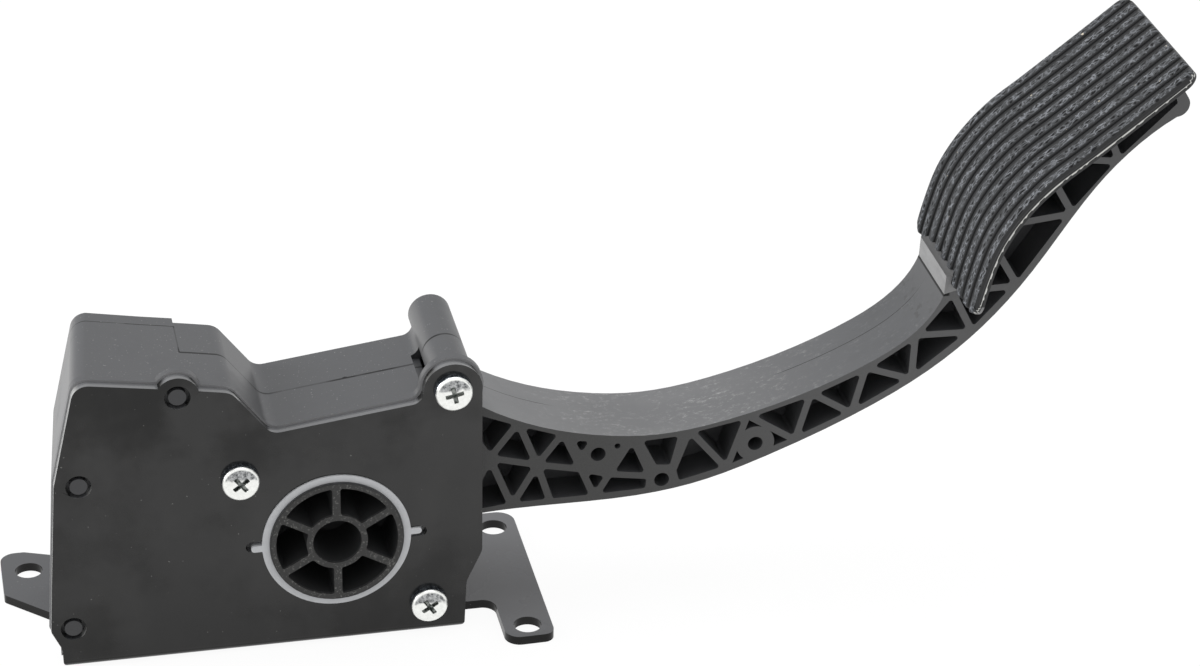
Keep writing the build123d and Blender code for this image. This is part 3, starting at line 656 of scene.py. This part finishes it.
def make_tread(finish):
    """The mat as a grid over its length and width, its top and its underside in one ring.

    Each point stands off the seat's curve by the mat's height, square to that curve. Rows
    and columns crowd together at the mat's ends, its sides and the flanks of its ridges.
    """
    dense = smooth_curve(seat_points, np.linspace(0, 1, 400))
    length = np.linalg.norm(np.diff(dense, axis=0), axis=1).sum()
    ends = np.array([0, 0.05, 0.2, 0.4, 0.6, 0.85, 1.1, 1.4, 1.8, 2.3, 3.0, 3.9]) / 1000
    middle = np.linspace(mat_corner, length - mat_corner, 90)
    along = np.concatenate([ends, middle, length - ends[::-1]])
    flank = np.array([0, 0.03, 0.12, 0.28, 0.5, 0.8]) / 1000
    ridge = np.concatenate([flank, [ridge_width / 2], ridge_width - flank[::-1]])
    ridges = ridge_margin + np.arange(ridge_count)[:, None] * ridge_pitch + ridge[None, :]
    sides = np.array([0, 0.04, 0.16, 0.35, 0.6, 0.9]) / 1000
    across = np.sort(np.concatenate([sides, ridges.reshape(-1), pad_width - sides]))
    curve = smooth_curve(seat_points, along / length)
    ahead = smooth_curve(seat_points, np.clip(along / length + 1e-3, 0, 1))
    behind = smooth_curve(seat_points, np.clip(along / length - 1e-3, 0, 1))
    run = (ahead - behind) / np.linalg.norm(ahead - behind, axis=1)[:, None]
    lift = np.stack([-run[:, 1], run[:, 0]], axis=1)
    into_corner = np.clip(mat_corner - np.minimum(along, length - along), 0, None)
    corner = mat_corner - np.sqrt(np.clip(mat_corner**2 - into_corner**2, 0, None))
    over = np.clip(across[None, :], corner[:, None], pad_width - corner[:, None])
    inset = mat_inset(along[:, None], over, length)
    height = mat_height(over, inset)
    over_both = np.concatenate([over, over[:, ::-1]], axis=1)
    height_both = np.concatenate([height, np.full_like(height, mat_low)], axis=1)
    inset_both = np.concatenate([inset, np.full_like(inset, under_mark)], axis=1)
    x = curve[:, 0][:, None] + lift[:, 0][:, None] * height_both
    z = curve[:, 1][:, None] + lift[:, 1][:, None] * height_both + pivot_height
    grid = np.stack([x, pad_near + over_both, z], axis=-1)
    marks = np.stack([np.broadcast_to(along[:, None], x.shape), over_both, inset_both], axis=-1)
    piece = grid_piece("ribbed_tread", grid, finish, closed=True, marks=marks)
    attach(piece, "pedal")
    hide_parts("pad_tread")


rubber, wire = start_finish("tread_rubber")
spot = position(wire)
marks = read_marks(wire)
along, across, inset = parts_of(wire, marks)
out_x, out_y, out_z = facing(wire)
on_top = inset.rise(-0.0004, -0.0001)
# Painted highlight: a thin pale line at the mat's outer edge, along its near side and round its tip.
hem_stretch = (1.0 - across.rise(0.02, 0.03)).most(along.rise(0.095, 0.1))
hem_highlight = on_top * (1.0 - inset.rise(0.00004, 0.00009)) * hem_stretch
# Painted shade: the mat's near side face is painted nearly black.
side = (-out_y).rise(0.55, 0.8) * (1.0 - across.rise(0.0009, 0.0013))
wave = (across - first_ridge) * (1.0 / ridge_pitch)
wave = abs(wave - wave.whole())
crest = (1.0 - wave.rise(0.22, 0.27)) * on_top
warp = wire.node("ShaderNodeTexNoise", {}, {"Vector": marks, "Scale": 500.0, "Detail": 2.0}, "Color")
shift = {0: warp, 1: (0.0016, 0.0016, 0.0), 2: marks}
bent = wire.node("ShaderNodeVectorMath", {"operation": "MULTIPLY_ADD"}, shift)
cells = {"Vector": stretched(wire, bent, (0.6, 1.25, 0.0)), "Scale": 680.0}
weave = wire.node("ShaderNodeTexVoronoi", {"feature": "DISTANCE_TO_EDGE"}, cells, "Distance")
rubs = cloud(wire, spot, 260.0, 3.0, 0.7).rise(0.36, 0.6)
sole = cloud(wire, spot, 70.0, 2.0).rise(0.3, 0.7)
light_stroke = (1.0 - weave.rise(0.03, 0.1)) * (rubs * 0.8 + 0.2)
dark_stroke = weave.rise(0.2, 0.3)
grit = cloud(wire, spot, 520.0, 1.0).rise(0.79, 0.81)
tread_colour = crest.mix((0.016, 0.0165, 0.0175), (0.024, 0.026, 0.029))
tread_colour = (crest * light_stroke * (sole * 0.3 + 0.7)).mix(tread_colour, (0.19, 0.2, 0.22))
tread_colour = (crest * dark_stroke * 0.9).mix(tread_colour, (0.006, 0.006, 0.007))
tread_colour = (side * 0.9).mix(tread_colour, (0.005, 0.0052, 0.006))
tread_colour = (crest * grit).mix(tread_colour, (0.6, 0.54, 0.44))
tread_colour = hem_highlight.mix(tread_colour, (0.7, 0.7, 0.67))
end_finish(wire, {
    "Base Color": tread_colour,
    "Metallic": crest * dark_stroke * 0.8,
    "Roughness": crest * 0.15 + 0.5,
    "Normal": (crest * (light_stroke - dark_stroke)).bump(0.4, 0.00025),
})
make_tread(rubber)
dress(rubber, "idle_stop", "full_travel_stop", "sensor_seal")


# Small screws: bright zinc-plated steel with a cloudy, slightly yellow bloom.
# They hold the housing's far half and the sensor cup, driven in from the far side.
zinc, wire = start_finish("zinc_plate")
spot = position(wire)
bloom = cloud(wire, spot, 420.0, 4.0, 0.65)
tint = cloud(wire, spot, 160.0, 2.0)
zinc_colour = bloom.rise(0.35, 0.65).mix((0.72, 0.73, 0.71), (0.92, 0.93, 0.9))
end_finish(wire, {
    "Base Color": (tint * 0.3).mix(zinc_colour, (0.88, 0.87, 0.78)),
    "Metallic": 1.0,
    "Roughness": bloom * 0.22 + 0.16,
    "Normal": bloom.bump(0.1, 0.0002),
})
for name in nodes:
    if name.startswith(("cover_screw", "sensor_screw")):
        dress(zinc, name)


# Housing screws: zinc-plated steel pan heads with a cross recess, driven through the flange.
# The plate is clouded, with a dull, bluish side; the dark crescent over the recess is a painted
# reflection.
head_finish, wire = start_finish("screw_head_plate")
beside, above, sunk = parts_of(wire, read_marks(wire))
bloom = cloud(wire, position(wire), 900.0, 4.0, 0.7)
patch = cloud(wire, position(wire), 380.0, 2.0, 0.6)
reach = (beside * beside + above * above).root()
# Painted reflection: a dark, mottled crescent on each head's upper side, over the recess.
crescent_reflection = (above + patch * 0.5).rise(0.42, 0.62) * (1.0 - reach.rise(0.84, 0.9))
crescent_reflection_colour = bloom.rise(0.35, 0.62).mix((0.1, 0.104, 0.108), (0.5, 0.51, 0.51))
side_colour = bloom.rise(0.4, 0.65).mix((0.12, 0.14, 0.17), (0.55, 0.6, 0.66))
# Painted shade: the cross recess is painted darker and duller.
recess_shade_colour = patch.rise(0.4, 0.6).mix((0.05, 0.06, 0.055), (0.4, 0.42, 0.4))
head_colour = bloom.rise(0.3, 0.7).mix((0.84, 0.85, 0.82), (0.98, 0.99, 0.96))
head_colour = crescent_reflection.mix(head_colour, crescent_reflection_colour)
head_colour = reach.rise(0.975, 0.99).mix(head_colour, side_colour)
head_colour = sunk.rise(0.12, 0.5).mix(head_colour, recess_shade_colour)
end_finish(wire, {
    "Base Color": head_colour,
    "Metallic": 1.0,
    "Roughness": bloom * 0.2 + sunk.rise(0.1, 0.4) * 0.3 + 0.2,
    "Normal": bloom.bump(0.08, 0.0002),
})

head_height = 0.0032
shank_radius = 0.003
tip_bevel = 0.0006
crown_rise = 0.00022
shoulder_reach = 0.0014
shoulder_drop = 0.0017
slot_half = 0.0007
slot_reach = 0.0029
slot_wall = 0.00016
slot_end = 0.0031
slot_fade = 0.0016
recess_depth = 0.0016
recess_room = 0.0036


def make_pan_screw(node, turn):
    """A revolved pan head and shank; the recess is a cross with steep walls and rounded ends.

    Inside the cross the face sinks by a depth that grows over its walls and fades at its ends.
    """
    low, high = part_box(node)
    middle_x = (low[0] + high[0]) / 2
    middle_z = (low[2] + high[2]) / 2
    radius = (high[0] - low[0]) / 2
    length = high[1] - low[1]
    face = np.linspace(0, recess_room, 61)
    crown = np.concatenate([face, np.linspace(recess_room + 0.0002, radius - shoulder_reach, 5)])
    crown_y = crown_rise * (crown / radius) ** 2
    arc = np.linspace(0, math.pi / 2, 9)[1:]
    shoulder = radius - shoulder_reach + shoulder_reach * np.sin(arc)
    shoulder_y = crown_y[-1] + shoulder_drop * (1 - np.cos(arc))
    down = [radius, shank_radius, shank_radius, shank_radius - tip_bevel, 0.0]
    down_y = [head_height, head_height, length - tip_bevel, length, length]
    profile_r = np.concatenate([crown, shoulder, down])
    profile_y = np.concatenate([crown_y, shoulder_y, down_y])
    angle = np.linspace(0, 2 * math.pi, 193)[:-1]
    u = profile_r[:, None] * np.cos(angle)[None, :]
    v = profile_r[:, None] * np.sin(angle)[None, :]
    one_slot = np.maximum(abs(u) - slot_half, abs(v) - slot_reach)
    other_slot = np.maximum(abs(v) - slot_half, abs(u) - slot_reach)
    wall = np.clip(-np.minimum(one_slot, other_slot) / slot_wall, 0, 1)
    end = np.clip((slot_end - np.hypot(u, v)) / slot_fade, 0, 1) ** 0.5
    on_crown = np.arange(len(profile_r))[:, None] < len(crown)
    deep = np.where(on_crown, recess_depth * wall * end, 0)
    out_x = u * math.cos(turn) - v * math.sin(turn)
    out_z = u * math.sin(turn) + v * math.cos(turn)
    along = np.broadcast_to(profile_y[:, None], u.shape) + deep
    grid = np.stack([middle_x + out_x, low[1] + along, middle_z + out_z], axis=-1)
    marks = np.stack([out_x / radius, out_z / radius, deep * 1000], axis=-1)
    piece = grid_piece(node + "_head", grid, head_finish, closed=True, crease=30.0, marks=marks)
    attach(piece, "frame")
    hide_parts(node)


make_pan_screw("housing_screw_upper", math.radians(12))
make_pan_screw("housing_screw_left", math.radians(37))
make_pan_screw("housing_screw_lower", math.radians(33))


# Return springs: two coils of oil-hardened wire, one inside the other, with closed ends.
# The end turns lie flat on the seats, and both shorten as the pedal goes down.
steel, wire = start_finish("spring_steel")
drawn = cloud(wire, position(wire), 700.0, 3.0, 0.6)
end_finish(wire, {
    "Base Color": drawn.mix((0.16, 0.16, 0.165), (0.34, 0.34, 0.35)),
    "Metallic": 1.0,
    "Roughness": drawn * 0.15 + 0.3,
    "Normal": drawn.bump(0.08, 0.0001),
})

rows_a_turn = 40
wire_sides = 16
turn_gap = 0.04


def make_coil(node, turns, wire_radius):
    """A round wire on a helix: it climbs a wire's width in each end turn and evenly between."""
    low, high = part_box(node)
    middle = ((low[0] + high[0]) / 2, (low[1] + high[1]) / 2)
    radius = (high[0] - low[0]) / 2 - wire_radius
    bottom = low[2] + wire_radius
    tall = high[2] - low[2] - 2 * wire_radius
    share = np.linspace(0, turns, turns * rows_a_turn + 1)
    climb = (2 + turn_gap) * wire_radius
    height = np.interp(share, [0, 1, turns - 1, turns], [0, climb, tall - climb, tall])
    width = np.full(share.shape, wire_radius)
    share = np.concatenate([[share[0]], share, [share[-1]]])
    height = np.concatenate([[height[0]], height, [height[-1]]])
    width = np.concatenate([[0.0], width, [0.0]])
    turn = 2 * math.pi * share
    around = np.linspace(0, 2 * math.pi, wire_sides + 1)[:-1]
    out = radius + width[:, None] * np.cos(around)[None, :]
    z = bottom + height[:, None] + width[:, None] * np.sin(around)[None, :]
    x = middle[0] + out * np.cos(turn)[:, None]
    y = middle[1] + out * np.sin(turn)[:, None]
    piece = grid_piece(node + "_coil", np.stack([x, y, z], axis=-1), steel, closed=True)
    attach(piece, "frame")
    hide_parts(node)
    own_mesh(piece)


make_coil("outer_return_spring", 7, 0.0012)
make_coil("inner_return_spring", 9, 0.0008)


# Sensor: a metal target on the hub, a green board with its packages, and bent pins.
# All of it sits under the far cup; only the pins show, inside the socket.
target, wire = start_finish("rotor_metal")
brushed = cloud(wire, stretched(wire, position(wire), (1.0, 1.0, 12.0)), 300.0, 3.0, 0.6)
end_finish(wire, {
    "Base Color": brushed.mix((0.55, 0.55, 0.56), (0.8, 0.8, 0.81)),
    "Metallic": 1.0,
    "Roughness": brushed * 0.2 + 0.25,
    "Normal": brushed.bump(0.06, 0.0001),
})
dress(target, "sensor_rotor")

board, wire = start_finish("board_laminate")
weave = cloud(wire, position(wire), 900.0, 2.0)
end_finish(wire, {
    "Base Color": weave.mix((0.01, 0.1, 0.04), (0.02, 0.17, 0.07)),
    "Roughness": weave * 0.1 + 0.3,
    "Normal": weave.bump(0.05, 0.0001),
})
dress(board, "sensor_board")

package, wire = start_finish("chip_plastic")
matte = cloud(wire, position(wire), 3000.0, 2.0)
end_finish(wire, {
    "Base Color": matte.mix((0.012, 0.012, 0.012), (0.03, 0.03, 0.03)),
    "Roughness": matte * 0.2 + 0.5,
    "Normal": matte.bump(0.1, 0.00005),
})
dress(package, "sensor_chips")

contact, wire = start_finish("contact_pins")
plated = cloud(wire, position(wire), 800.0, 2.0)
end_finish(wire, {
    "Base Color": plated.mix((0.7, 0.6, 0.34), (0.85, 0.8, 0.62)),
    "Metallic": 1.0,
    "Roughness": plated * 0.15 + 0.2,
    "Normal": plated.bump(0.05, 0.00005),
})
dress(contact, "connector_pins")
